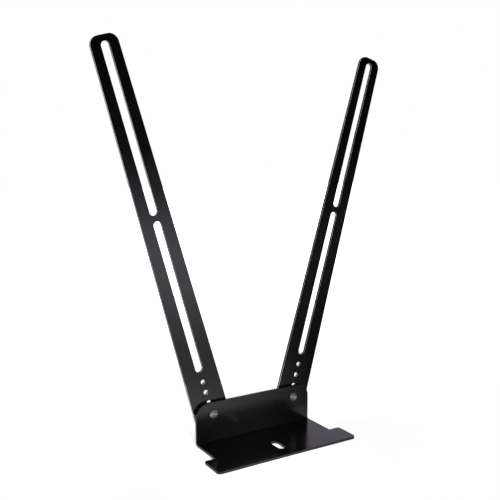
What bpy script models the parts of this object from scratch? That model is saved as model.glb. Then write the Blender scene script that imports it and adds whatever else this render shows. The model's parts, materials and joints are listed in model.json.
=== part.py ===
"""A screen bracket of black sheet steel: a bent shelf bracket and two slotted arms in a V.

The bracket is one bent sheet. Its shelf lies flat and reaches forward, towards -Y, and its flange stands up
behind the shelf. The two arms stand behind the flange. Each swings about one bolt, which clamps it through a
friction washer, a flat washer, a lock washer and a nut. Metres, +Z up, standing on the shelf's underside.
"""

import math

import bmesh
import bpy

# ---- sheet metal
SHEET = 0.0025  # thickness of the bracket's steel
ARM_SHEET = 0.0025  # thickness of the arms' steel
TOUCH = 0.0003  # gap left between faces that rest on each other

# ---- flange
FLANGE_WIDTH = 0.140
FLANGE_HEIGHT = 0.0410  # above the shelf's upper face
FLANGE_CORNER = 0.0140  # radius of its two upper corners
BEND_RADIUS = 0.0015  # inside radius between flange and shelf

# ---- shelf
SHELF_DEPTH = 0.0690  # from the flange's front face to the shelf's front edge
TAB_DEPTH = 0.0290  # front-to-back size of the wider front part
TAB_REACH = 0.0125  # how far it reaches past the flange on each side
TAB_FRONT_CORNER = 0.0040
TAB_REAR_CORNER = 0.0025
CAMERA_SLOT_LENGTH = 0.0200
CAMERA_SLOT_WIDTH = 0.0080  # passes a quarter-inch camera screw
CAMERA_SLOT_BACK = 0.0350  # from the flange's front face to the slot's rear end

# ---- arms
PIVOT_SPACING = 0.100
PIVOT_HEIGHT = 0.0285  # above the shelf's upper face
REST_ANGLE = math.radians(16.0)  # each arm's lean outwards from upright
ARM_LENGTH = 0.3870  # from the pivot to the arm's tip
ARM_FOOT_WIDTH = 0.0400
ARM_TIP_WIDTH = 0.0280
ARM_TIP_CORNER = 0.0090  # radius of the tip's two corners
SCREEN_SLOT_WIDTH = 0.0080  # passes the M4 to M8 screws of a screen's back
LOWER_SLOT_START = 0.0475  # slot ends, from the pivot
LOWER_SLOT_LENGTH = 0.1625
SLOT_BRIDGE = 0.0062  # steel left between the two slots
UPPER_SLOT_TIP_LAND = 0.0060  # steel left between the upper slot and the arm's tip
SPARE_HOLES = 3  # further pivot holes above the one in use
SPARE_HOLE_PITCH = 0.0120

# ---- fasteners
SHANK_DIAMETER = 0.0040
SHANK_CLEARANCE = 0.00025  # radial, in every hole that the bolt passes
THREAD_END = 0.0014  # how far the bolt stands out of its nut
THREAD_CHAMFER = 0.0004
HEAD_DIAMETER = 0.0090
HEAD_HEIGHT = 0.0025
HEAD_RIM = 0.0006  # height of the head's straight rim
RECESS_SPAN = 0.0042  # tip to tip of the cross recess
RECESS_TIP_WIDTH = 0.0007
RECESS_ROOT_WIDTH = 0.0011
RECESS_DEPTH = 0.0013
FRICTION_WASHER_DIAMETER = 0.0120
FRICTION_WASHER_THICKNESS = 0.0010
FLAT_WASHER_DIAMETER = 0.0090
FLAT_WASHER_THICKNESS = 0.0008
LOCK_WASHER_DIAMETER = 0.0076
LOCK_WASHER_THICKNESS = 0.0009
LOCK_WASHER_SPLIT = math.radians(16.0)
NUT_ACROSS_FLATS = 0.0070
NUT_THICKNESS = 0.0032

# ---- facets
ARC_STEP = math.radians(7.5)  # largest turn between two points of a round outline
TURN_STEPS = 32
DOME_STEPS = 6

# ---- places that follow from the sizes
HOLE_RADIUS = SHANK_DIAMETER / 2 + SHANK_CLEARANCE
PIVOT_Z = SHEET + PIVOT_HEIGHT
FLANGE_TOP = SHEET + FLANGE_HEIGHT
STACK = (
    ("friction_washer", FRICTION_WASHER_THICKNESS),
    ("arm", ARM_SHEET),
    ("flat_washer", FLAT_WASHER_THICKNESS),
    ("lock_washer", LOCK_WASHER_THICKNESS),
    ("pivot_nut", NUT_THICKNESS),
)
GRIP = SHEET + sum(thickness + TOUCH for _, thickness in STACK)
FLANGE_FRONT = (SHELF_DEPTH - GRIP - THREAD_END) / 2  # so that the origin is under the middle of the whole
BEYOND = 0.010  # how far a cutter runs past what it cuts

parts = bpy.data.collections.new("screen_arm_bracket")
cutters = bpy.data.collections.new("cutters")


def clear_scene():
    for obj in list(bpy.data.objects):
        bpy.data.objects.remove(obj, do_unlink=True)
    for collection in (parts, cutters):
        bpy.context.scene.collection.children.link(collection)


def finish_material(name, colour, roughness, metallic):
    material = bpy.data.materials.new(name)
    material.use_nodes = True
    shader = material.node_tree.nodes["Principled BSDF"]
    shader.inputs["Base Color"].default_value = (*colour, 1.0)
    shader.inputs["Roughness"].default_value = roughness
    shader.inputs["Metallic"].default_value = metallic
    return material


# ---- outlines, each a closed list of (x, y)


def arc(centre, radius, start, end):
    """Points from one angle to the other about the centre, both ends included."""
    count = max(2, math.ceil(abs(end - start) / ARC_STEP))
    angles = [start + (end - start) * i / count for i in range(count + 1)]
    return [(centre[0] + radius * math.cos(a), centre[1] + radius * math.sin(a)) for a in angles]


def circle(centre, radius):
    return arc(centre, radius, 0.0, math.tau)[:-1]


def slot(start, end, width):
    """A round-ended slot along Y from start to end."""
    radius = width / 2
    top = arc((0.0, end - radius), radius, 0.0, math.pi)
    bottom = arc((0.0, start + radius), radius, math.pi, math.tau)
    return top + bottom


def mirrored(right_side):
    """The outline whose right half is given from its lowest point up."""
    return right_side + [(-x, y) for x, y in reversed(right_side)]


# ---- solids


def add_mesh(name, mesh, material, collection=parts):
    obj = bpy.data.objects.new(name, mesh)
    if material:
        mesh.materials.append(material)
    collection.objects.link(obj)
    if collection is cutters:
        obj.hide_render = True
        obj.display_type = "WIRE"
    return obj


def plate(name, outlines, thickness, material, collection=parts):
    """A flat plate in its own XY plane, centred on its thickness. Outlines inside the first are holes."""
    curve = bpy.data.curves.new(name, "CURVE")
    curve.dimensions = "2D"
    curve.fill_mode = "BOTH"
    curve.extrude = thickness / 2
    for outline in outlines:
        spline = curve.splines.new("POLY")
        spline.points.add(len(outline) - 1)
        for point, (x, y) in zip(spline.points, outline):
            point.co = (x, y, 0.0, 1.0)
        spline.use_cyclic_u = True
    blank = bpy.data.objects.new(name + "_blank", curve)
    bpy.context.scene.collection.objects.link(blank)
    evaluated = blank.evaluated_get(bpy.context.evaluated_depsgraph_get())
    mesh = bpy.data.meshes.new_from_object(evaluated)
    mesh.name = name
    weld(mesh)
    bpy.data.objects.remove(blank, do_unlink=True)
    bpy.data.curves.remove(curve)
    return add_mesh(name, mesh, material, collection)


def weld(mesh):
    """Joins the caps to the sides and turns every face outwards."""
    form = bmesh.new()
    form.from_mesh(mesh)
    bmesh.ops.remove_doubles(form, verts=form.verts, dist=1e-6)
    bmesh.ops.recalc_face_normals(form, faces=form.faces)
    form.to_mesh(mesh)
    form.free()


def turned(name, profile, material):
    """A solid of revolution about its own Z axis, from a profile at +X that runs from top to bottom."""
    mesh = bpy.data.meshes.new(name)
    form = bmesh.new()
    points = [form.verts.new((x, 0.0, z)) for x, z in profile]
    for first, second in zip(points, points[1:]):
        form.edges.new((first, second))
    form.to_mesh(mesh)
    form.free()
    obj = add_mesh(name, mesh, material)
    screw = obj.modifiers.new("turn", "SCREW")
    screw.axis = "Z"
    screw.angle = math.tau
    screw.steps = TURN_STEPS
    screw.render_steps = TURN_STEPS
    screw.use_merge_vertices = True
    screw.merge_threshold = 1e-5
    screw.use_smooth_shade = True
    return obj


def boolean(obj, operation, cutter):
    modifier = obj.modifiers.new(cutter.name, "BOOLEAN")
    modifier.operation = operation
    modifier.object = cutter
    modifier.solver = "EXACT"


def stand_up(obj, x, y, z, lean=0.0):
    """Turns a piece made in XY so that it faces -Y, and sets its origin at the given place."""
    obj.rotation_euler = (math.pi / 2, lean, 0.0)
    obj.location = (x, y, z)


# ---- the bent bracket


def bent_strip(material):
    """The sheet before it is trimmed: wider, deeper and taller than the bracket, bent once."""
    side = FLANGE_WIDTH / 2 + TAB_REACH + BEYOND
    bend_centre = (FLANGE_FRONT - BEND_RADIUS, SHEET + BEND_RADIUS)
    profile = [(FLANGE_FRONT, FLANGE_TOP + BEYOND)]
    profile += arc(bend_centre, BEND_RADIUS, 0.0, -math.pi / 2)
    profile += [(FLANGE_FRONT - SHELF_DEPTH - BEYOND, SHEET)]
    mesh = bpy.data.meshes.new("shelf_bracket")
    form = bmesh.new()
    points = [form.verts.new((-side, y, z)) for y, z in profile]
    edges = [form.edges.new(pair) for pair in zip(points, points[1:])]
    swept = bmesh.ops.extrude_edge_only(form, edges=edges)["geom"]
    far_side = [item for item in swept if isinstance(item, bmesh.types.BMVert)]
    bmesh.ops.translate(form, verts=far_side, vec=(2 * side, 0.0, 0.0))
    form.to_mesh(mesh)
    form.free()
    strip = add_mesh("shelf_bracket", mesh, material)
    solidify = strip.modifiers.new("sheet", "SOLIDIFY")
    solidify.thickness = SHEET
    solidify.offset = 1.0
    solidify.use_even_offset = True
    return strip


def flange_outline():
    """Seen from the front. Below the corner radii it is wide, so that the shelf's own outline trims there."""
    half = FLANGE_WIDTH / 2
    wide = half + TAB_REACH + 2 * BEYOND
    corner = (half - FLANGE_CORNER, FLANGE_TOP - FLANGE_CORNER)
    right = [(wide, -BEYOND), (wide, corner[1])] + arc(corner, FLANGE_CORNER, 0.0, math.pi / 2)
    return mirrored(right)


def shelf_outline():
    """Seen from above, with Y as it lies: the front part is wider than the rest by its tabs."""
    half = FLANGE_WIDTH / 2
    front = FLANGE_FRONT - SHELF_DEPTH
    tab_side = half + TAB_REACH
    tab_rear = front + TAB_DEPTH
    right = arc((tab_side - TAB_FRONT_CORNER, front + TAB_FRONT_CORNER), TAB_FRONT_CORNER, -math.pi / 2, 0.0)
    right += arc((tab_side - TAB_REAR_CORNER, tab_rear - TAB_REAR_CORNER), TAB_REAR_CORNER, 0.0, math.pi / 2)
    right += [(half, tab_rear), (half, FLANGE_FRONT + SHEET + BEYOND)]
    return mirrored(right)


def make_shelf_bracket(material):
    bracket = bent_strip(material)
    depth = SHELF_DEPTH + SHEET + 4 * BEYOND
    pivots = [circle((side * PIVOT_SPACING / 2, PIVOT_Z), HOLE_RADIUS) for side in (-1, 1)]
    front_view = plate("flange_trim", [flange_outline()] + pivots, depth, None, cutters)
    stand_up(front_view, 0.0, FLANGE_FRONT - SHELF_DEPTH / 2, 0.0)

    slot_end = FLANGE_FRONT - CAMERA_SLOT_BACK
    camera_slot = slot(slot_end - CAMERA_SLOT_LENGTH, slot_end, CAMERA_SLOT_WIDTH)
    height = FLANGE_TOP + 4 * BEYOND
    top_view = plate("shelf_trim", [shelf_outline(), camera_slot], height, None, cutters)
    top_view.location = (0.0, 0.0, FLANGE_TOP / 2)

    boolean(bracket, "INTERSECT", front_view)
    boolean(bracket, "INTERSECT", top_view)
    return bracket


# ---- the arms


def arm_outline():
    """A round foot about the pivot and a tip with two rounded corners, joined by their common tangents."""
    foot = ARM_FOOT_WIDTH / 2
    corner_x = ARM_TIP_WIDTH / 2 - ARM_TIP_CORNER
    corner_y = ARM_LENGTH - ARM_TIP_CORNER
    taper = math.asin((foot - ARM_TIP_CORNER) / math.hypot(corner_x, corner_y))
    slope = taper - math.atan2(corner_x, corner_y)
    right_corner = arc((corner_x, corner_y), ARM_TIP_CORNER, slope, math.pi / 2)
    left_corner = [(-x, y) for x, y in reversed(right_corner)]
    return right_corner + left_corner + arc((0.0, 0.0), foot, math.pi - slope, math.tau + slope)


def make_arm(name, side, y, material):
    lower_end = LOWER_SLOT_START + LOWER_SLOT_LENGTH
    holes = [circle((0.0, i * SPARE_HOLE_PITCH), HOLE_RADIUS) for i in range(SPARE_HOLES + 1)]
    outlines = [arm_outline()]
    outlines.append(slot(LOWER_SLOT_START, lower_end, SCREEN_SLOT_WIDTH))
    outlines.append(slot(lower_end + SLOT_BRIDGE, ARM_LENGTH - UPPER_SLOT_TIP_LAND, SCREEN_SLOT_WIDTH))
    arm = plate(name, outlines + holes, ARM_SHEET, material)
    stand_up(arm, side * PIVOT_SPACING / 2, y, PIVOT_Z, lean=side * REST_ANGLE)


# ---- the fasteners of one pivot


def make_bolt(name, x, material):
    """A truss-head bolt with a cross recess. Its own Z axis points out of the head, and 0 is under the head."""
    head = HEAD_DIAMETER / 2
    crown = HEAD_HEIGHT - HEAD_RIM
    dome = (head**2 + crown**2) / (2 * crown)
    rim_angle = math.asin(head / dome)
    profile = []
    for i in range(DOME_STEPS + 1):
        angle = rim_angle * i / DOME_STEPS
        profile.append((dome * math.sin(angle), HEAD_HEIGHT - dome * (1 - math.cos(angle))))
    shank = SHANK_DIAMETER / 2
    end = -(TOUCH + GRIP + THREAD_END)
    profile += [(head, 0.0), (shank, 0.0), (shank, end + THREAD_CHAMFER)]
    profile += [(shank - THREAD_CHAMFER, end), (0.0, end)]
    bolt = turned(name, profile, material)
    stand_up(bolt, x, FLANGE_FRONT - TOUCH, PIVOT_Z)

    reach, tip, root = RECESS_SPAN / 2, RECESS_TIP_WIDTH / 2, RECESS_ROOT_WIDTH / 2
    quarter = [(reach, -tip), (reach, tip), (root, root)]
    cross = []
    for turn in range(4):
        c, s = round(math.cos(turn * math.pi / 2)), round(math.sin(turn * math.pi / 2))
        cross += [(c * px - s * py, s * px + c * py) for px, py in quarter]
    recess = plate(name + "_recess", [cross], 2 * RECESS_DEPTH, None, cutters)
    stand_up(recess, x, FLANGE_FRONT - TOUCH - HEAD_HEIGHT, PIVOT_Z)
    boolean(bolt, "DIFFERENCE", recess)


def ring(diameter):
    return [circle((0.0, 0.0), diameter / 2), circle((0.0, 0.0), HOLE_RADIUS)]


def split_ring():
    """A ring with a narrow gap, which lies at its top."""
    start = math.pi / 2 + LOCK_WASHER_SPLIT / 2
    end = math.pi / 2 + math.tau - LOCK_WASHER_SPLIT / 2
    outside = arc((0.0, 0.0), LOCK_WASHER_DIAMETER / 2, start, end)
    inside = arc((0.0, 0.0), HOLE_RADIUS, end, start)
    return [outside + inside]


def hexagon():
    """The nut, with one flat up."""
    corner = NUT_ACROSS_FLATS / 2 / math.cos(math.pi / 6)
    outline = [(corner * math.cos(i * math.pi / 3), corner * math.sin(i * math.pi / 3)) for i in range(6)]
    return [outline, circle((0.0, 0.0), HOLE_RADIUS)]


def make_pivot(side_name, side, steel, nylon, zinc):
    """One arm and everything that its bolt holds, from the flange backwards."""
    x = side * PIVOT_SPACING / 2
    make_bolt(side_name + "_pivot_bolt", x, zinc)
    shapes = {
        "friction_washer": (ring(FRICTION_WASHER_DIAMETER), nylon),
        "flat_washer": (ring(FLAT_WASHER_DIAMETER), zinc),
        "lock_washer": (split_ring(), zinc),
        "pivot_nut": (hexagon(), zinc),
    }
    front = FLANGE_FRONT + SHEET
    for piece, thickness in STACK:
        front += TOUCH
        name = side_name + "_" + piece
        if piece == "arm":
            make_arm(name, side, front + thickness / 2, steel)
        else:
            outlines, material = shapes[piece]
            obj = plate(name, outlines, thickness, material)
            stand_up(obj, x, front + thickness / 2, PIVOT_Z)
        front += thickness


def main():
    clear_scene()
    steel = finish_material("black_powder_coat", (0.012, 0.012, 0.013), 0.45, 0.0)
    nylon = finish_material("black_nylon", (0.02, 0.02, 0.02), 0.6, 0.0)
    zinc = finish_material("dark_zinc", (0.16, 0.155, 0.165), 0.35, 1.0)
    make_shelf_bracket(steel)
    for side_name, side in (("left", -1), ("right", 1)):
        make_pivot(side_name, side, steel, nylon, zinc)


main()
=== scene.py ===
"""The looks of the screen arm bracket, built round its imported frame.

The bent bracket is finished from its own solid. The slotted arms, the bolts, the nuts and the washers
are made by Geometry Nodes. Metres, +Z up, with the shelf's front edge towards -Y. It stands on z = 0.
"""

import json
import math

import bmesh
import bpy
from mathutils import Matrix, Vector


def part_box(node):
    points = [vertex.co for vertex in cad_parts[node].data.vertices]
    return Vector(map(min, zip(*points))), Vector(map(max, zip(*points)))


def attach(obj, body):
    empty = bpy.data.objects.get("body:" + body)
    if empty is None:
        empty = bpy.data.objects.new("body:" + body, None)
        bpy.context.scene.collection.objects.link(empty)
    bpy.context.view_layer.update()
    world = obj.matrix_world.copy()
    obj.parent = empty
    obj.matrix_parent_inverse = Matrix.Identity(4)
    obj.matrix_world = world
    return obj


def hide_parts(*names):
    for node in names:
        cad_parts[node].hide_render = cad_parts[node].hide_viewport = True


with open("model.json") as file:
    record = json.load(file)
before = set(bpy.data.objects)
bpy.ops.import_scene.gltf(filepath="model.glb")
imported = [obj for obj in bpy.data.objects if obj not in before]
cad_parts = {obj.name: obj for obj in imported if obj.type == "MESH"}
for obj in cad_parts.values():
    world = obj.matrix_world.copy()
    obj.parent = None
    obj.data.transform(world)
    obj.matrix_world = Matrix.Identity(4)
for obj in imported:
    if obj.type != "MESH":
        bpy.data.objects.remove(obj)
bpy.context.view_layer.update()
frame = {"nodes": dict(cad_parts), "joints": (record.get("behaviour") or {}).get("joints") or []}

# ---- camera
CAMERA_AZIMUTH = math.radians(-31.44)
CAMERA_ELEVATION = math.radians(7.47)
CAMERA_ROLL = math.radians(-0.16)
CAMERA_DISTANCE = 0.7248
CAMERA_TARGET = Vector((-0.0054, 0.0276, 0.19865))
CAMERA_LENS = 50.4  # millimetres, on a sensor 36 mm wide

# ---- studio
BACKDROP_DIRECTION = (0.515, 0.852, 0.1)
BACKDROP_COLOUR = (0.60, 0.54, 0.70)
BACKDROP_EDGE = (0.55, 0.90)  # cosines from its direction between which it fades in
BACKDROP_TOP = (0.42, 0.62)  # heights of view between which it fades out
ROOM_COLOUR = (0.005, 0.005, 0.005)
FLOOR_SIDE, FLOOR_FRONT, FLOOR_REAR = 6.0, -3.0, 6.0
FLOOR_DROP = -0.0002  # the floor lies this little under the object
FLOOR_PAPER = (0.86, 0.86, 0.86, 1.0)
FLOOR_GLOW = 1.65
FLOOR_GLOW_COLOUR = (1.0, 0.965, 1.07, 1.0)
FLOOR_GLOW_RAMP = (0.30, 0.95)  # distances between which paper turns to glow
FLOOR_LIFT = 0.40
FLAG_CORNER = (0.045, -0.03, 0.001)
FLAG_TURN = math.radians(27.5)
FLAG_COVER = 0.92
FLAG_SOFT_EDGE = 0.08
FLAG_WIDTH, FLAG_LENGTH = 4.0, 5.0
CARD_LEFT, CARD_RIGHT, CARD_FRONT, CARD_REAR, CARD_HEIGHT = -1.5, 0.6, 0.1, 2.4, 2.2
CARD_STRENGTH = 0.9
SOFTBOX_SIZE = 3.0
SOFTBOX_POWER = 54.0
SOFTBOX_PLACE = (0.0, 0.3, 2.2)
SPOT_POWER = 210.0
SPOT_ANGLE = math.radians(8.0)
SPOT_RADIUS = 0.05
SPOT_AIM_LEFT = 0.01
SPOT_BACK = Vector((-0.35, -1.2, 0.30))  # from where it aims to where it hangs

# ---- arms
ARM_LEAN = math.radians(16.0)  # outwards from upright
ARM_LENGTH = 0.3870  # from the pivot to the tip
ARM_FOOT_WIDTH = 0.0400
ARM_TIP_WIDTH = 0.0280
ARM_TIP_CORNER = 0.0090
SLOT_WIDTH = 0.0080
LOWER_SLOT_START = 0.0475
LOWER_SLOT_LENGTH = 0.1625
SLOT_BRIDGE = 0.0062
TIP_LAND = 0.0060
PIVOT_HOLE = 0.0045
PIVOT_HOLE_PITCH = 0.0120
PIVOT_HOLES = 4
PIVOT_HOLE_STEPS = 48

# ---- fasteners
SHANK_DIAMETER = 0.0040
THREAD_PITCH = 0.0007
THREAD_DEPTH = 0.00038
THREAD_CREST = 0.12  # share of a ridge that is flat
HEAD_HEIGHT = 0.0025
HEAD_RIM = 0.0006
RECESS_SPAN = 0.0042
RECESS_WIDTH = 0.00085
RECESS_DEPTH = 0.0014
RECESS_END_TAPER = 0.45  # share by which a wing is shorter at its root
RECESS_SIDE_TAPER = 0.25  # share by which a wing is narrower at its root
RECESS_CORE = 0.95  # the core's radius over a wing's width
RECESS_CORE_TAPER = 0.3
RECESS_CORE_STEPS = 16
SEAM = 1e-4  # share of the sheet that closes each end of the shank
NUT_BORE = 0.00408
NUT_CHAMFER_SLOPE = math.radians(30.0)
NUT_FACE_SHARE = 0.95  # the chamfered face over the distance across flats
LOCK_WASHER_SPLIT = math.radians(16.0)
LOCK_WASHER_RISE = 0.00012

# ---- finishes: colours, roughness ranges, and the scales of their grain
COAT_DARK, COAT_LIGHT = (0.0017, 0.0017, 0.0019), (0.0026, 0.0026, 0.0029)
COAT_WORN = (0.020, 0.020, 0.021, 1.0)
COAT_ROUGHNESS = (0.17, 0.22)
COAT_WEAR_SHARE = 0.6  # how far a rubbed edge goes towards the worn colour
COAT_WEAR_SHINE = 0.08  # how much smoother it gets
COAT_CLOUD, COAT_RUB, COAT_PEEL, COAT_FINE = 55.0, 260.0, 1300.0, 5200.0
COAT_RELIEF = ((0.30, 0.00003), (0.15, 0.000006))  # strength and depth of the peel, then of the fine grain
ZINC_DARK, ZINC_LIGHT = (0.41, 0.405, 0.42), (0.53, 0.525, 0.54)
ZINC_EDGE = (0.66, 0.66, 0.68, 1.0)
ZINC_EDGE_SHARE = 0.5
ZINC_METALLIC = 0.92
ZINC_ROUGHNESS = (0.38, 0.50)
ZINC_MOTTLE, ZINC_PITS = 900.0, 6000.0
NYLON_DARK, NYLON_LIGHT = (0.014, 0.014, 0.014), (0.024, 0.024, 0.024)
NYLON_ROUGHNESS = (0.5, 0.62)
NYLON_CLOUD, NYLON_FINE = 700.0, 5000.0
FINE_STRENGTH, FINE_DEPTH = 0.3, 0.00001

# ---- edges
PLATE_EDGE = 0.00040  # radius left on the sheet's edges by the coat
WASHER_EDGE = 0.00012
HARDWARE_EDGE = 0.00009
EDGE_SEGMENTS = 3
SHARP = math.radians(28.0)
FLAT = math.radians(0.2)
MERGE = 1e-6
EVERYWHERE = -1.0  # a height below every shape


# ---- node trees, written one node at a time


class Wiring:
    """Adds nodes to a tree. An input takes a plain value, an output, or a node for its first output."""

    def __init__(self, tree):
        self.tree = tree

    def add(self, kind, inputs=None, **settings):
        node = self.tree.nodes.new(kind)
        for key, value in settings.items():
            setattr(node, key, value)
        for key, value in (inputs or {}).items():
            for item in value if isinstance(value, list) else [value]:
                self.feed(node.inputs[key], item)
        return node

    def feed(self, socket, value):
        if isinstance(value, bpy.types.Node):
            value = value.outputs[0]
        if isinstance(value, bpy.types.NodeSocket):
            self.tree.links.new(value, socket)
        else:
            socket.default_value = value

    def math(self, operation, first, second=0.0):
        return self.add("ShaderNodeMath", {0: first, 1: second}, operation=operation)

    def vector(self, x=0.0, y=0.0, z=0.0):
        return self.add("ShaderNodeCombineXYZ", {0: x, 1: y, 2: z})


class ShapeTree(Wiring):
    """A Geometry Nodes tree with named sizes, which ends in Realize Instances and Set Material."""

    def __init__(self, name, sizes):
        super().__init__(bpy.data.node_groups.new(name, "GeometryNodeTree"))
        face = self.tree.interface
        face.new_socket("Geometry", in_out="OUTPUT", socket_type="NodeSocketGeometry")
        for label, default in sizes.items():
            kind = "NodeSocketInt" if isinstance(default, int) else "NodeSocketFloat"
            face.new_socket(label, in_out="INPUT", socket_type=kind).default_value = default
        face.new_socket("Material", in_out="INPUT", socket_type="NodeSocketMaterial")
        self.sizes = self.tree.nodes.new("NodeGroupInput").outputs

    def half(self, label):
        return self.math("MULTIPLY", self.sizes[label], 0.5)

    def move(self, geometry, x=0.0, y=0.0, z=0.0):
        return self.add("GeometryNodeTransform", {"Geometry": geometry, "Translation": self.vector(x, y, z)})

    def boolean(self, operation, base, others):
        inputs = {"Mesh 2": others if operation == "DIFFERENCE" else [base] + others}
        if operation == "DIFFERENCE":
            inputs["Mesh 1"] = base
        return self.add("GeometryNodeMeshBoolean", inputs, operation=operation, solver="EXACT")

    def sweep(self, path, width, height, capped):
        """A bar of rectangular section along a path."""
        section = self.add("GeometryNodeCurvePrimitiveQuadrilateral", {"Width": width, "Height": height})
        bar = {"Curve": path, "Profile Curve": section, "Fill Caps": capped}
        return self.add("GeometryNodeCurveToMesh", bar)

    def finish(self, geometry):
        whole = self.add("GeometryNodeRealizeInstances", {"Geometry": geometry})
        inputs = {"Geometry": whole, "Material": self.sizes["Material"]}
        painted = self.add("GeometryNodeSetMaterial", inputs)
        end = self.tree.nodes.new("NodeGroupOutput")
        self.feed(end.inputs["Geometry"], painted)
        return self.tree


def shape_from(tree, values, material):
    """The plain mesh that a tree makes with these sizes."""
    shape = bpy.data.objects.new(tree.name, bpy.data.meshes.new(tree.name))
    bpy.context.scene.collection.objects.link(shape)
    modifier = shape.modifiers.new(tree.name, "NODES")
    modifier.node_group = tree
    for item in tree.interface.items_tree:
        if item.in_out == "INPUT" and item.name in values:
            modifier[item.identifier] = values[item.name]
        if item.in_out == "INPUT" and item.name == "Material":
            modifier[item.identifier] = material
    evaluated = shape.evaluated_get(bpy.context.evaluated_depsgraph_get())
    mesh = bpy.data.meshes.new_from_object(evaluated)
    shape.modifiers.remove(modifier)
    bpy.data.objects.remove(shape, do_unlink=True)
    return mesh


# ---- finishing a piece


def soften_edges(mesh, width, lowest):
    """Rounds every sharp edge above the lowest height, and marks the middle of each for wear."""
    form = bmesh.new()
    form.from_mesh(mesh)
    bmesh.ops.remove_doubles(form, verts=form.verts, dist=MERGE)
    bmesh.ops.dissolve_limit(form, angle_limit=FLAT, verts=form.verts, edges=form.edges)
    bmesh.ops.recalc_face_normals(form, faces=form.faces)
    sharp = []
    for edge in form.edges:
        high_enough = min(vert.co.z for vert in edge.verts) > lowest
        if high_enough and edge.is_manifold and edge.calc_face_angle() > SHARP:
            sharp.append(edge)
    rounded = bmesh.ops.bevel(
        form,
        geom=sharp,
        offset=width,
        offset_type="OFFSET",
        segments=EDGE_SEGMENTS,
        profile=0.5,
        affect="EDGES",
        clamp_overlap=True,
    )
    band = set(rounded["faces"])
    wear = form.verts.layers.float.new("edge_wear")
    for vert in rounded["verts"]:
        if vert.is_valid and band.issuperset(vert.link_faces):
            vert[wear] = 1.0
    for face in form.faces:
        face.smooth = True
    form.to_mesh(mesh)
    form.free()


def even_shading(mesh):
    """The same mesh, with normals that keep each flat face flat up to its rounded edge."""
    holder = bpy.data.objects.new("shading", mesh)
    bpy.context.scene.collection.objects.link(holder)
    weighted = holder.modifiers.new("weighted", "WEIGHTED_NORMAL")
    weighted.mode = "FACE_AREA"
    weighted.weight = 50
    evaluated = holder.evaluated_get(bpy.context.evaluated_depsgraph_get())
    shaded = bpy.data.meshes.new_from_object(evaluated)
    bpy.data.objects.remove(holder, do_unlink=True)
    return shaded


def add_piece(name, mesh, place, edge, material, body, node, lowest=EVERYWHERE):
    """Finishes a mesh, puts it in its place, and lets it stand for its CAD node."""
    soften_edges(mesh, edge, lowest)
    mesh.transform(place)
    shaded = even_shading(mesh)
    shaded.name = name
    if not shaded.materials:
        shaded.materials.append(material)
    piece = bpy.data.objects.new(name, shaded)
    bpy.context.scene.collection.objects.link(piece)
    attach(piece, body)
    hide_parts(node)
    return piece


# ---- trees


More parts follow.
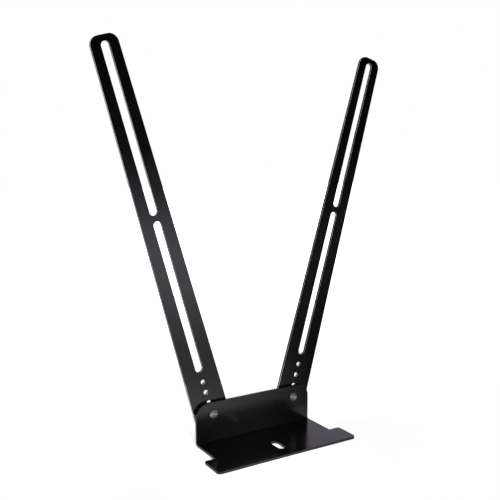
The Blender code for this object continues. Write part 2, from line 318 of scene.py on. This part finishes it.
def arm_tree():
    """A tapered arm in the XY plane: round foot about the origin, rounded tip, two slots, row of holes."""
    tree = ShapeTree(
        "slotted_arm",
        {
            "Length": ARM_LENGTH,
            "Foot Width": ARM_FOOT_WIDTH,
            "Tip Width": ARM_TIP_WIDTH,
            "Tip Corner": ARM_TIP_CORNER,
            "Slot Width": SLOT_WIDTH,
            "Lower Slot Start": LOWER_SLOT_START,
            "Lower Slot Length": LOWER_SLOT_LENGTH,
            "Slot Bridge": SLOT_BRIDGE,
            "Tip Land": TIP_LAND,
            "Hole Diameter": PIVOT_HOLE,
            "Hole Pitch": PIVOT_HOLE_PITCH,
            "Holes": PIVOT_HOLES,
            "Thickness": 0.0025,
            "Arc Steps": 24,
        },
    )
    size, calc = tree.sizes, tree.math
    foot = tree.half("Foot Width")
    corner_x = calc("SUBTRACT", tree.half("Tip Width"), size["Tip Corner"])
    corner_y = calc("SUBTRACT", size["Length"], size["Tip Corner"])
    squares = calc("ADD", calc("MULTIPLY", corner_x, corner_x), calc("MULTIPLY", corner_y, corner_y))
    reach = calc("SQRT", squares)
    taper = calc("ARCSINE", calc("DIVIDE", calc("SUBTRACT", foot, size["Tip Corner"]), reach))
    slope = calc("SUBTRACT", taper, calc("ARCTAN2", corner_x, corner_y))

    def side_at(y):
        """How far out the side's line is at that height."""
        run = calc("SUBTRACT", foot, calc("MULTIPLY", y, calc("SINE", slope)))
        return calc("DIVIDE", run, calc("COSINE", slope))

    below = calc("MULTIPLY", foot, -1.0)
    foot_x, tip_x = side_at(below), side_at(size["Length"])
    corners = {
        "Point 1": tree.vector(calc("MULTIPLY", foot_x, -1.0), below),
        "Point 2": tree.vector(foot_x, below),
        "Point 3": tree.vector(tip_x, size["Length"]),
        "Point 4": tree.vector(calc("MULTIPLY", tip_x, -1.0), size["Length"]),
    }
    outline = tree.add("GeometryNodeCurvePrimitiveQuadrilateral", corners, mode="POINTS")
    at_tip = calc("GREATER_THAN", tree.add("GeometryNodeInputIndex"), 1.5)
    step = calc("SUBTRACT", size["Tip Corner"], foot)
    radius = calc("ADD", foot, calc("MULTIPLY", at_tip, step))
    fillet = {"Curve": outline, "Count": size["Arc Steps"], "Radius": radius, "Limit Radius": True}
    outlines = [tree.add("GeometryNodeFilletCurve", fillet, mode="POLY")]

    def slot(start, length):
        box = {"Width": size["Slot Width"], "Height": length}
        straight = tree.add("GeometryNodeCurvePrimitiveQuadrilateral", box, mode="RECTANGLE")
        ends = {"Curve": straight, "Count": size["Arc Steps"], "Radius": tree.half("Slot Width")}
        ends["Limit Radius"] = True
        rounded = tree.add("GeometryNodeFilletCurve", ends, mode="POLY")
        return tree.move(rounded, y=calc("ADD", start, calc("MULTIPLY", length, 0.5)))

    outlines.append(slot(size["Lower Slot Start"], size["Lower Slot Length"]))
    lower_end = calc("ADD", size["Lower Slot Start"], size["Lower Slot Length"])
    upper_start = calc("ADD", lower_end, size["Slot Bridge"])
    upper_end = calc("SUBTRACT", size["Length"], size["Tip Land"])
    outlines.append(slot(upper_start, calc("SUBTRACT", upper_end, upper_start)))

    pitch = tree.vector(0.0, size["Hole Pitch"])
    row = {"Count": size["Holes"], "Start Location": (0.0, 0.0, 0.0), "Offset": pitch}
    places = tree.add("GeometryNodeMeshLine", row, mode="OFFSET", count_mode="TOTAL")
    round_hole = {"Resolution": PIVOT_HOLE_STEPS, "Radius": tree.half("Hole Diameter")}
    hole = tree.add("GeometryNodeCurvePrimitiveCircle", round_hole)
    holes = tree.add("GeometryNodeInstanceOnPoints", {"Points": places, "Instance": hole})
    outlines.append(tree.add("GeometryNodeRealizeInstances", {"Geometry": holes}))

    flat = tree.add("GeometryNodeJoinGeometry", {"Geometry": outlines})
    face = tree.add("GeometryNodeFillCurve", {"Curve": flat}, mode="NGONS")
    lift = {"Mesh": face, "Offset": tree.vector(0.0, 0.0, size["Thickness"]), "Individual": False}
    walls = tree.add("GeometryNodeExtrudeMesh", lift, mode="FACES")
    back = tree.add("GeometryNodeFlipFaces", {"Mesh": face})
    shell = tree.add("GeometryNodeJoinGeometry", {"Geometry": [walls, back]})
    welded = tree.add("GeometryNodeMergeByDistance", {"Geometry": shell, "Distance": MERGE})
    return tree.finish(tree.move(welded, z=calc("MULTIPLY", size["Thickness"], -0.5)))


def ring_tree():
    """A flat ring about Z, centred on its thickness."""
    tree = ShapeTree("ring_washer", {"Outside": 0.009, "Bore": 0.0045, "Thickness": 0.001, "Steps": 64})
    size, calc = tree.sizes, tree.math
    wall = calc("SUBTRACT", tree.half("Outside"), tree.half("Bore"))
    middle = calc("ADD", tree.half("Bore"), calc("MULTIPLY", wall, 0.5))
    path = tree.add("GeometryNodeCurvePrimitiveCircle", {"Resolution": size["Steps"], "Radius": middle})
    upright = tree.add("GeometryNodeSetCurveNormal", {"Curve": path}, mode="Z_UP")
    return tree.finish(tree.sweep(upright, wall, size["Thickness"], False))


def split_ring_tree():
    """A ring wound as one turn of a low helix, with its gap on the X axis."""
    sizes = {"Outside": 0.0076, "Bore": 0.0045, "Thickness": 0.0009, "Rise": LOCK_WASHER_RISE}
    sizes.update({"Split": LOCK_WASHER_SPLIT, "Steps": 72})
    tree = ShapeTree("split_lock_washer", sizes)
    size, calc = tree.sizes, tree.math
    wall = calc("SUBTRACT", tree.half("Outside"), tree.half("Bore"))
    middle = calc("ADD", tree.half("Bore"), calc("MULTIPLY", wall, 0.5))
    turn = calc("SUBTRACT", 1.0, calc("DIVIDE", size["Split"], math.tau))
    winding = {"Resolution": size["Steps"], "Rotations": turn, "Start Radius": middle, "End Radius": middle}
    winding["Height"] = size["Rise"]
    path = tree.add("GeometryNodeCurveSpiral", winding)
    half_split = {"Geometry": path, "Rotation": tree.vector(0.0, 0.0, tree.half("Split"))}
    opened = tree.add("GeometryNodeTransform", half_split)
    lowered = tree.move(opened, z=calc("MULTIPLY", size["Rise"], -0.5))
    upright = tree.add("GeometryNodeSetCurveNormal", {"Curve": lowered}, mode="Z_UP")
    height = calc("SUBTRACT", size["Thickness"], size["Rise"])
    return tree.finish(tree.sweep(upright, wall, height, True))


def nut_tree():
    """A hexagon nut about Z, centred on its thickness, chamfered, with its corners on the X axis."""
    sizes = {"Across Flats": 0.007, "Thickness": 0.0032, "Bore": NUT_BORE}
    sizes.update({"Chamfer Slope": NUT_CHAMFER_SLOPE, "Steps": 64})
    tree = ShapeTree("hexagon_nut", sizes)
    size, calc = tree.sizes, tree.math
    corner = calc("DIVIDE", tree.half("Across Flats"), math.cos(math.pi / 6))
    prism = {"Vertices": 6, "Radius": corner, "Depth": size["Thickness"]}
    blank = tree.add("GeometryNodeMeshCylinder", prism, fill_type="NGON")
    face_radius = calc("MULTIPLY", tree.half("Across Flats"), NUT_FACE_SHARE)
    flare = calc("DIVIDE", size["Thickness"], calc("TANGENT", size["Chamfer Slope"]))
    wide = calc("ADD", face_radius, flare)
    lowest = calc("MULTIPLY", size["Thickness"], -0.5)
    cone = {"Vertices": size["Steps"], "Depth": size["Thickness"]}
    trims = []
    for top, bottom in ((face_radius, wide), (wide, face_radius)):
        shape = dict(cone, **{"Radius Top": top, "Radius Bottom": bottom})
        trims.append(tree.move(tree.add("GeometryNodeMeshCone", shape, fill_type="NGON"), z=lowest))
    trimmed = tree.boolean("INTERSECT", blank, trims)
    past_both_faces = calc("MULTIPLY", corner, 4.0)
    through = {"Vertices": size["Steps"], "Radius": tree.half("Bore"), "Depth": past_both_faces}
    bore = tree.add("GeometryNodeMeshCylinder", through, fill_type="NGON")
    return tree.finish(tree.boolean("DIFFERENCE", trimmed, [bore]))


def bolt_tree():
    """A domed bolt about Z. Its threaded shank runs down from 0, and its head has a cross recess."""
    sizes = {"Head Diameter": 0.009, "Head Height": HEAD_HEIGHT, "Head Rim": HEAD_RIM}
    sizes.update({"Shank Diameter": SHANK_DIAMETER, "Shank Length": 0.016, "Thread Pitch": THREAD_PITCH})
    sizes.update({"Thread Depth": THREAD_DEPTH, "Recess Span": RECESS_SPAN, "Recess Width": RECESS_WIDTH})
    sizes.update({"Recess Depth": RECESS_DEPTH, "Steps": 64, "Thread Rows": 240, "Thread Steps": 40})
    tree = ShapeTree("cross_recess_bolt", sizes)
    size, calc = tree.sizes, tree.math

    # the head is what a disc and a ball have in common
    head = tree.half("Head Diameter")
    crown = calc("SUBTRACT", size["Head Height"], size["Head Rim"])
    squares = calc("ADD", calc("MULTIPLY", head, head), calc("MULTIPLY", crown, crown))
    dome = calc("DIVIDE", squares, calc("MULTIPLY", crown, 2.0))
    double_height = calc("MULTIPLY", size["Head Height"], 2.0)
    round_bar = {"Vertices": size["Steps"], "Radius": head, "Depth": double_height}
    disc = tree.add("GeometryNodeMeshCylinder", round_bar, fill_type="NGON")
    lifted = tree.move(disc, z=size["Head Height"])
    sphere = {"Segments": size["Steps"], "Rings": size["Steps"], "Radius": dome}
    ball = tree.add("GeometryNodeMeshUVSphere", sphere)
    sunk = tree.move(ball, z=calc("SUBTRACT", size["Head Height"], dome))
    crowned = tree.boolean("INTERSECT", lifted, [sunk])

    # the shank is a sheet of points rolled into a tube, with the thread cut by a helix
    grid = {"Size X": 1.0, "Size Y": 1.0}
    grid.update({"Vertices X": size["Thread Steps"], "Vertices Y": size["Thread Rows"]})
    sheet = tree.add("GeometryNodeMeshGrid", grid)
    place = tree.add("ShaderNodeSeparateXYZ", {0: tree.add("GeometryNodeInputPosition")})
    round_share = calc("ADD", place.outputs["X"], 0.5)
    along_share = calc("ADD", place.outputs["Y"], 0.5)
    overlap = calc("MULTIPLY", size["Head Rim"], 0.5)
    whole = calc("ADD", size["Shank Length"], overlap)
    drop = calc("MULTIPLY", along_share, whole)
    phase = calc("FRACT", calc("ADD", calc("DIVIDE", drop, size["Thread Pitch"]), round_share))
    ridge = calc("ABSOLUTE", calc("SUBTRACT", calc("MULTIPLY", phase, 2.0), 1.0))
    flattened = spread(tree, ridge, 0.0, 1.0, THREAD_CREST, 1.0 - THREAD_CREST)
    cut = calc("MULTIPLY", flattened, size["Thread Depth"])
    left = calc("SUBTRACT", whole, drop)
    lead_in = calc("MINIMUM", left, size["Thread Depth"])
    bevelled = calc("SUBTRACT", size["Thread Depth"], lead_in)
    radius = calc("SUBTRACT", tree.half("Shank Diameter"), calc("MAXIMUM", cut, bevelled))
    below_top = calc("GREATER_THAN", along_share, SEAM)
    above_end = calc("LESS_THAN", along_share, 1.0 - SEAM)
    inside = calc("MULTIPLY", below_top, above_end)
    closed = calc("MULTIPLY", radius, inside)
    angle = calc("MULTIPLY", round_share, math.tau)
    x = calc("MULTIPLY", closed, calc("COSINE", angle))
    y = calc("MULTIPLY", closed, calc("SINE", angle))
    z = calc("SUBTRACT", overlap, drop)
    rolled = tree.add("GeometryNodeSetPosition", {"Geometry": sheet, "Position": tree.vector(x, y, z)})
    outward = tree.add("GeometryNodeFlipFaces", {"Mesh": rolled})
    shank = tree.add("GeometryNodeMergeByDistance", {"Geometry": outward, "Distance": MERGE})
    solid = tree.boolean("UNION", crowned, [shank])

    # the recess is two crossed wedges over a cone
    deep = calc("MULTIPLY", size["Recess Depth"], 2.0)
    wings = []
    for turned in (False, True):
        span, width = size["Recess Span"], size["Recess Width"]
        sides = (width, span) if turned else (span, width)
        bar = tree.add("GeometryNodeMeshCube", {"Size": tree.vector(*sides, deep)})
        spot = tree.add("ShaderNodeSeparateXYZ", {0: tree.add("GeometryNodeInputPosition")})
        low = calc("LESS_THAN", spot.outputs["Z"], 0.0)
        shrink = calc("SUBTRACT", 1.0, calc("MULTIPLY", low, RECESS_END_TAPER))
        pinch = calc("SUBTRACT", 1.0, calc("MULTIPLY", low, RECESS_SIDE_TAPER))
        factors = (pinch, shrink) if turned else (shrink, pinch)
        sized = tree.vector(
            calc("MULTIPLY", spot.outputs["X"], factors[0]),
            calc("MULTIPLY", spot.outputs["Y"], factors[1]),
            spot.outputs["Z"],
        )
        wings.append(tree.add("GeometryNodeSetPosition", {"Geometry": bar, "Position": sized}))
    core_top = calc("MULTIPLY", size["Recess Width"], RECESS_CORE)
    core_bottom = calc("MULTIPLY", core_top, RECESS_CORE_TAPER)
    core = {"Vertices": RECESS_CORE_STEPS, "Depth": deep}
    core.update({"Radius Top": core_top, "Radius Bottom": core_bottom})
    cone = tree.add("GeometryNodeMeshCone", core, fill_type="NGON")
    centred = tree.move(cone, z=calc("MULTIPLY", deep, -0.5))
    cross = tree.boolean("UNION", wings[0], [wings[1], centred])
    raised = tree.move(cross, z=size["Head Height"])
    return tree.finish(tree.boolean("DIFFERENCE", solid, [raised]))


# ---- materials


def new_material(name):
    material = bpy.data.materials.new(name)
    material.use_nodes = True
    material.node_tree.nodes.clear()
    return material, Wiring(material.node_tree)


def close_material(wiring, shader):
    wiring.add("ShaderNodeOutputMaterial", {"Surface": shader})


def grain(wiring, place, scale, detail=2.0):
    inputs = {"Vector": place, "Scale": scale, "Detail": detail, "Roughness": 0.55}
    return wiring.add("ShaderNodeTexNoise", inputs).outputs["Fac"]


def spread(wiring, value, low, high, start=0.3, end=0.7):
    """Turns a value from start to end into one from low to high."""
    inputs = {"Value": value, "From Min": start, "From Max": end, "To Min": low, "To Max": high}
    return wiring.add("ShaderNodeMapRange", inputs)


def blend_colour(wiring, share, first, second):
    mix = wiring.add("ShaderNodeMix", data_type="RGBA")
    wiring.feed(mix.inputs["Factor"], share)
    wiring.feed(mix.inputs[6], (*first, 1.0))
    wiring.feed(mix.inputs[7], (*second, 1.0))
    return mix.outputs[2]


def relief(wiring, layers):
    """One normal from several heights, each as (height, strength, depth in metres)."""
    normal = None
    for height, strength, depth in layers:
        inputs = {"Height": height, "Strength": strength, "Distance": depth}
        if normal:
            inputs["Normal"] = normal
        normal = wiring.add("ShaderNodeBump", inputs)
    return normal


def powder_coat():
    """Black powder coat on steel: a fine orange peel, uneven gloss, and edges rubbed a little brighter."""
    material, wiring = new_material("black_powder_coat")
    place = wiring.add("ShaderNodeTexCoord").outputs["Object"]
    cloud = grain(wiring, place, COAT_CLOUD, 3.0)
    peel = grain(wiring, place, COAT_PEEL)
    fine = grain(wiring, place, COAT_FINE)
    rub = spread(wiring, grain(wiring, place, COAT_RUB, 3.0), 0.0, 1.0, 0.42, 0.68)
    edge = wiring.add("ShaderNodeAttribute", attribute_name="edge_wear").outputs["Fac"]
    worn = wiring.math("MULTIPLY", edge, rub)
    deep = blend_colour(wiring, cloud, COAT_DARK, COAT_LIGHT)
    mix = wiring.add("ShaderNodeMix", data_type="RGBA")
    wiring.feed(mix.inputs["Factor"], wiring.math("MULTIPLY", worn, COAT_WEAR_SHARE))
    wiring.feed(mix.inputs[6], deep)
    wiring.feed(mix.inputs[7], COAT_WORN)
    rough = spread(wiring, cloud, *COAT_ROUGHNESS)
    shine = wiring.math("SUBTRACT", rough, wiring.math("MULTIPLY", worn, COAT_WEAR_SHINE))
    shader = wiring.add("ShaderNodeBsdfPrincipled")
    wiring.feed(shader.inputs["Base Color"], mix.outputs[2])
    wiring.feed(shader.inputs["Roughness"], shine)
    layers = [(peel, *COAT_RELIEF[0]), (fine, *COAT_RELIEF[1])]
    wiring.feed(shader.inputs["Normal"], relief(wiring, layers))
    close_material(wiring, shader)
    return material


def zinc():
    """Grey zinc plating: mottled and finely pitted, with brighter edges."""
    material, wiring = new_material("dark_zinc")
    place = wiring.add("ShaderNodeTexCoord").outputs["Object"]
    mottle = grain(wiring, place, ZINC_MOTTLE, 3.0)
    pits = grain(wiring, place, ZINC_PITS)
    edge = wiring.add("ShaderNodeAttribute", attribute_name="edge_wear").outputs["Fac"]
    base = blend_colour(wiring, mottle, ZINC_DARK, ZINC_LIGHT)
    mix = wiring.add("ShaderNodeMix", data_type="RGBA")
    wiring.feed(mix.inputs["Factor"], wiring.math("MULTIPLY", edge, ZINC_EDGE_SHARE))
    wiring.feed(mix.inputs[6], base)
    wiring.feed(mix.inputs[7], ZINC_EDGE)
    shader = wiring.add("ShaderNodeBsdfPrincipled", {"Metallic": ZINC_METALLIC})
    wiring.feed(shader.inputs["Base Color"], mix.outputs[2])
    wiring.feed(shader.inputs["Roughness"], spread(wiring, mottle, *ZINC_ROUGHNESS))
    wiring.feed(shader.inputs["Normal"], relief(wiring, [(pits, FINE_STRENGTH, FINE_DEPTH)]))
    close_material(wiring, shader)
    return material


def nylon():
    """Plain black nylon: matt, with a fine moulded grain."""
    material, wiring = new_material("black_nylon")
    place = wiring.add("ShaderNodeTexCoord").outputs["Object"]
    cloud = grain(wiring, place, NYLON_CLOUD, 3.0)
    fine = grain(wiring, place, NYLON_FINE)
    shader = wiring.add("ShaderNodeBsdfPrincipled")
    colour = blend_colour(wiring, cloud, NYLON_DARK, NYLON_LIGHT)
    wiring.feed(shader.inputs["Base Color"], colour)
    wiring.feed(shader.inputs["Roughness"], spread(wiring, cloud, *NYLON_ROUGHNESS))
    wiring.feed(shader.inputs["Normal"], relief(wiring, [(fine, FINE_STRENGTH, FINE_DEPTH)]))
    close_material(wiring, shader)
    return material


# ---- pieces


def make_bracket(steel):
    """The bent bracket, from its own solid."""
    mesh = frame["nodes"]["shelf_bracket"].data.copy()
    mesh.materials.clear()
    name, slot = "bent_shelf_bracket", "black_powder_coat"
    add_piece(name, mesh, Matrix.Identity(4), PLATE_EDGE, steel, "bracket", "shelf_bracket")


def facing_front(centre):
    """Stands a shape that was made about Z at a place, with its own Z towards -Y."""
    return Matrix.Translation(centre) @ Matrix.Rotation(math.pi / 2, 4, "X")


def make_arm(tree, side_name, side, pivot, steel):
    node = side_name + "_arm"
    low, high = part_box(node)
    mesh = shape_from(tree, {"Thickness": high.y - low.y}, steel)
    centre = Vector((pivot.x, (low.y + high.y) / 2, pivot.z))
    lean = Matrix.Rotation(side * ARM_LEAN, 4, "Y")
    place = Matrix.Translation(centre) @ lean @ Matrix.Rotation(math.pi / 2, 4, "X")
    add_piece(side_name + "_slotted_arm", mesh, place, PLATE_EDGE, steel, node, node)


def make_fasteners(trees, side_name, materials):
    """The bolt, its washers and its nut, each where its solid is."""
    for part, tree_name, slot, edge in (
        ("pivot_bolt", "bolt", "dark_zinc", HARDWARE_EDGE),
        ("friction_washer", "ring", "black_nylon", WASHER_EDGE),
        ("flat_washer", "ring", "dark_zinc", WASHER_EDGE),
        ("lock_washer", "split", "dark_zinc", HARDWARE_EDGE),
        ("pivot_nut", "nut", "dark_zinc", HARDWARE_EDGE),
    ):
        node = side_name + "_" + part
        low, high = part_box(node)
        centre = (low + high) / 2
        across, thick = high.x - low.x, high.y - low.y
        place = facing_front(centre)
        lowest = EVERYWHERE
        if part == "pivot_bolt":
            sizes = {"Head Diameter": across, "Shank Length": thick - HEAD_HEIGHT}
            place = facing_front(Vector((centre.x, low.y + HEAD_HEIGHT, centre.z)))
            lowest = HEAD_RIM / 2  # the thread keeps its own edges
        elif part == "pivot_nut":
            sizes = {"Across Flats": high.z - low.z, "Thickness": thick}
        elif part == "lock_washer":
            sizes = {"Outside": across, "Thickness": thick}
            place = place @ Matrix.Rotation(math.pi / 2, 4, "Z")
        else:
            sizes = {"Outside": across, "Thickness": thick}
        mesh = shape_from(trees[tree_name], sizes, materials[slot])
        add_piece(node + "_made", mesh, place, edge, materials[slot], "bracket", node, lowest)


# ---- studio


def make_camera():
    lens = bpy.data.cameras.new("camera")
    lens.lens = CAMERA_LENS
    lens.sensor_width = 36.0
    lens.clip_start, lens.clip_end = 0.01, 100.0
    camera = bpy.data.objects.new("camera", lens)
    bpy.context.scene.collection.objects.link(camera)
    level = math.cos(CAMERA_ELEVATION)
    back = Vector(
        (math.sin(CAMERA_AZIMUTH) * level, -math.cos(CAMERA_AZIMUTH) * level, math.sin(CAMERA_ELEVATION))
    )
    aim = (-back).to_track_quat("-Z", "Y").to_matrix().to_4x4()
    spot = Matrix.Translation(CAMERA_TARGET + back * CAMERA_DISTANCE)
    camera.matrix_world = spot @ aim @ Matrix.Rotation(CAMERA_ROLL, 4, "Z")
    bpy.context.scene.camera = camera


def make_sheet(name, corners, material, seen):
    """A flat sheet of the studio. One that isn't seen shows in reflections only."""
    mesh = bpy.data.meshes.new(name)
    mesh.from_pydata(corners, [], [(0, 1, 2, 3)])
    mesh.materials.append(material)
    sheet = bpy.data.objects.new(name, mesh)
    bpy.context.scene.collection.objects.link(sheet)
    if not seen:
        for ray in ("camera", "diffuse", "transmission", "volume_scatter", "shadow"):
            setattr(sheet, "visible_" + ray, False)
    return sheet


def make_floor():
    """A pale sheet under the object, which fades into the white round it."""
    material, wiring = new_material("pale_floor")
    place = wiring.add("ShaderNodeTexCoord").outputs["Object"]
    length = wiring.add("ShaderNodeVectorMath", {0: place}, operation="LENGTH").outputs["Value"]
    far = spread(wiring, length, 0.0, 1.0, *FLOOR_GLOW_RAMP)
    far.interpolation_type = "SMOOTHSTEP"
    paper = wiring.add("ShaderNodeBsdfDiffuse", {"Color": FLOOR_PAPER})
    glow = wiring.add("ShaderNodeEmission", {"Color": FLOOR_GLOW_COLOUR, "Strength": FLOOR_GLOW})
    spread_out = wiring.add("ShaderNodeMixShader", {0: far.outputs[0], 1: paper, 2: glow})
    seen = wiring.add("ShaderNodeLightPath").outputs["Is Camera Ray"]
    lift = wiring.add("ShaderNodeEmission", {"Strength": wiring.math("MULTIPLY", seen, FLOOR_LIFT)})
    close_material(wiring, wiring.add("ShaderNodeAddShader", {0: spread_out, 1: lift}))
    side, front, rear = FLOOR_SIDE, FLOOR_FRONT, FLOOR_REAR
    corners = [(-side, front, 0), (side, front, 0), (side, rear, 0), (-side, rear, 0)]
    make_sheet("floor", corners, material, True).location.z = FLOOR_DROP


def make_flag():
    """A soft-edged black flag that lies in front on the right. Only reflections see it."""
    material, wiring = new_material("black_flag")
    place = wiring.add("ShaderNodeSeparateXYZ", {0: wiring.add("ShaderNodeTexCoord").outputs["Object"]})
    cover = spread(wiring, place.outputs["X"], 0.0, FLAG_COVER, 0.0, FLAG_SOFT_EDGE)
    clear = wiring.add("ShaderNodeBsdfTransparent")
    black = wiring.add("ShaderNodeEmission", {"Color": (0.0, 0.0, 0.0, 1.0), "Strength": 0.0})
    close_material(wiring, wiring.add("ShaderNodeMixShader", {0: cover.outputs[0], 1: clear, 2: black}))
    wide, long = FLAG_WIDTH, FLAG_LENGTH
    flag = make_sheet("flag", [(0, 0, 0), (0, -long, 0), (wide, -long, 0), (wide, 0, 0)], material, False)
    flag.location = FLAG_CORNER
    flag.rotation_euler.z = FLAG_TURN


def make_overhead_card():
    """A white card above and behind, which level faces reflect. Only reflections see it."""
    material, wiring = new_material("white_card")
    close_material(wiring, wiring.add("ShaderNodeEmission", {"Strength": CARD_STRENGTH}))
    left, right, front, rear, z = CARD_LEFT, CARD_RIGHT, CARD_FRONT, CARD_REAR, CARD_HEIGHT
    corners = [(left, front, z), (left, rear, z), (right, rear, z), (right, front, z)]
    make_sheet("overhead_card", corners, material, False)


def make_lights():
    """The dark room with its backdrop, a softbox overhead, and a small spot for the front of the flange."""
    scene = bpy.context.scene
    world = bpy.data.worlds.new("studio")
    scene.world = world
    world.use_nodes = True
    world.node_tree.nodes.clear()
    wiring = Wiring(world.node_tree)
    toward = wiring.add("ShaderNodeTexCoord").outputs["Generated"]
    towards_backdrop = {0: toward, 1: BACKDROP_DIRECTION}
    facing = wiring.add("ShaderNodeVectorMath", towards_backdrop, operation="DOT_PRODUCT").outputs["Value"]
    behind = spread(wiring, facing, 0.0, 1.0, *BACKDROP_EDGE)
    behind.interpolation_type = "SMOOTHSTEP"
    height = wiring.add("ShaderNodeSeparateXYZ", {0: toward}).outputs["Z"]
    below = spread(wiring, height, 1.0, 0.0, *BACKDROP_TOP)
    shown = wiring.math("MULTIPLY", behind, below)
    colour = blend_colour(wiring, shown, ROOM_COLOUR, BACKDROP_COLOUR)
    room = wiring.add("ShaderNodeBackground", {"Color": colour, "Strength": 1.0})
    white = wiring.add("ShaderNodeBackground", {"Color": (1.0, 1.0, 1.0, 1.0), "Strength": 1.0})
    path = wiring.add("ShaderNodeLightPath").outputs["Is Camera Ray"]
    mixed = wiring.add("ShaderNodeMixShader", {0: path, 1: room, 2: white})
    wiring.add("ShaderNodeOutputWorld", {"Surface": mixed})

    lamp = bpy.data.lights.new("overhead_softbox", "AREA")
    lamp.shape = "SQUARE"
    lamp.size = SOFTBOX_SIZE
    lamp.energy = SOFTBOX_POWER
    box = bpy.data.objects.new("overhead_softbox", lamp)
    scene.collection.objects.link(box)
    box.location = SOFTBOX_PLACE
    box.visible_glossy = False

    beam = bpy.data.lights.new("front_spot", "SPOT")
    beam.energy = SPOT_POWER
    beam.spot_size = SPOT_ANGLE
    beam.spot_blend = 1.0
    beam.shadow_soft_size = SPOT_RADIUS
    spot = bpy.data.objects.new("front_spot", beam)
    scene.collection.objects.link(spot)
    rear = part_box("shelf_bracket")[1].y
    spot.location = Vector((-SPOT_AIM_LEFT, rear, 0.0)) + SPOT_BACK
    spot.rotation_euler = (-SPOT_BACK).to_track_quat("-Z", "Y").to_euler()
    spot.visible_glossy = False
    scene.view_settings.view_transform = "Standard"


def main():
    make_camera()
    steel = powder_coat()
    materials = {"dark_zinc": zinc(), "black_nylon": nylon()}
    trees = {"bolt": bolt_tree(), "ring": ring_tree(), "split": split_ring_tree(), "nut": nut_tree()}
    arm = arm_tree()
    pivots = {joint["child"]: Vector(joint["pos_m"]) for joint in frame["joints"]}
    make_bracket(steel)
    for side_name, side in (("left", -1), ("right", 1)):
        make_arm(arm, side_name, side, pivots[side_name + "_arm"], steel)
        make_fasteners(trees, side_name, materials)
    make_floor()
    make_flag()
    make_overhead_card()
    make_lights()


main()
